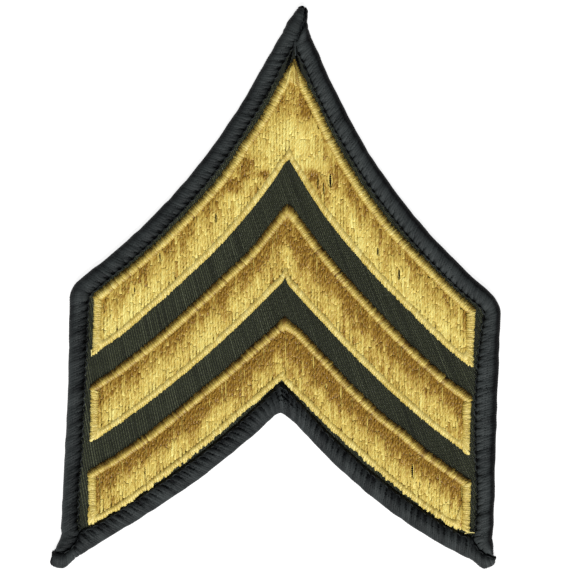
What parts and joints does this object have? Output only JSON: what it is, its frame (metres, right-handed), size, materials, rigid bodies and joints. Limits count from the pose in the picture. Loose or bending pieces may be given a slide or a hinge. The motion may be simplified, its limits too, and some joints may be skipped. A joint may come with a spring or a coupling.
{
  "type": "chevron rank patch",
  "caption": "Flat sew-on embroidered rank patch: dark twill ground, gold chevrons of fill stitches with raised satin edging, and a thick overlocked thread border.",
  "frame": {"origin": "on the surface that the patch lies on, under the centre of its box", "axes": "+X across the patch to the wearer's view right, +Y towards the peak of the chevrons, +Z out of the embroidered face"},
  "size_m": [0.0807, 0.1035, 0.0024],
  "materials": {
    "twill_ground": "matt dark olive twill",
    "border_thread": "soft sheen of overlocked charcoal thread",
    "fill_thread": "bright sheen of gold embroidery thread in staggered stitches",
    "edging_thread": "bright sheen of pale gold satin stitches"
  },
  "bodies": {
    "root": {"ground": "twill_ground", "border": "border_thread", "upper_chevron_fill": "fill_thread", "upper_chevron_edging": "edging_thread", "middle_chevron_fill": "fill_thread", "middle_chevron_edging": "edging_thread", "lower_chevron_fill": "fill_thread", "lower_chevron_edging": "edging_thread"}
  },
  "joints": []
}
